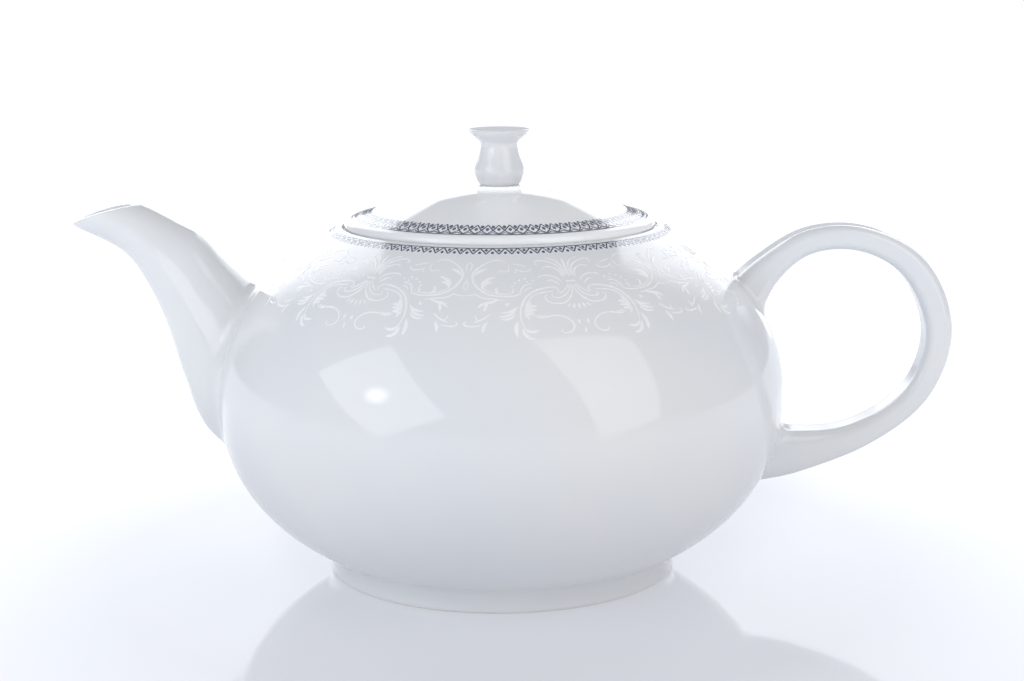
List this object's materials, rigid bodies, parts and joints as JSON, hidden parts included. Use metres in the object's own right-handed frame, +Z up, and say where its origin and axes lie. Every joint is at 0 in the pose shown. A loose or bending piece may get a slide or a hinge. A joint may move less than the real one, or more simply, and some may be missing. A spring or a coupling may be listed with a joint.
{
  "type": "teapot",
  "caption": "Round white porcelain teapot with a beaked spout, ear-shaped handle, foot ring and a domed lid with a waisted knob that lifts off.",
  "frame": {"origin": "centre of the foot ring's standing face", "axes": "+Z up, the spout points to -X, the handle to +X"},
  "size_m": [0.2632, 0.17, 0.1333],
  "materials": {
    "white_glaze": "clear glossy glaze on white porcelain, with printed and raised ornament on shoulder and lid",
    "foot_glaze": "clear glaze, left bare and ground smooth on the standing face"
  },
  "bodies": {
    "pot": {"body_bowl": "white_glaze", "foot_ring": "foot_glaze", "gallery_ring": "white_glaze", "spout": "white_glaze", "strainer": "white_glaze", "handle": "white_glaze"},
    "lid": {"lid_cover": "white_glaze", "lid_skirt": "white_glaze", "lid_knob": "white_glaze"}
  },
  "joints": [
    {"name": "lid_lift", "type": "slide", "parent": "pot", "child": "lid", "axis": [0, 0, 1], "range_m": [0, 0.08]}
  ]
}
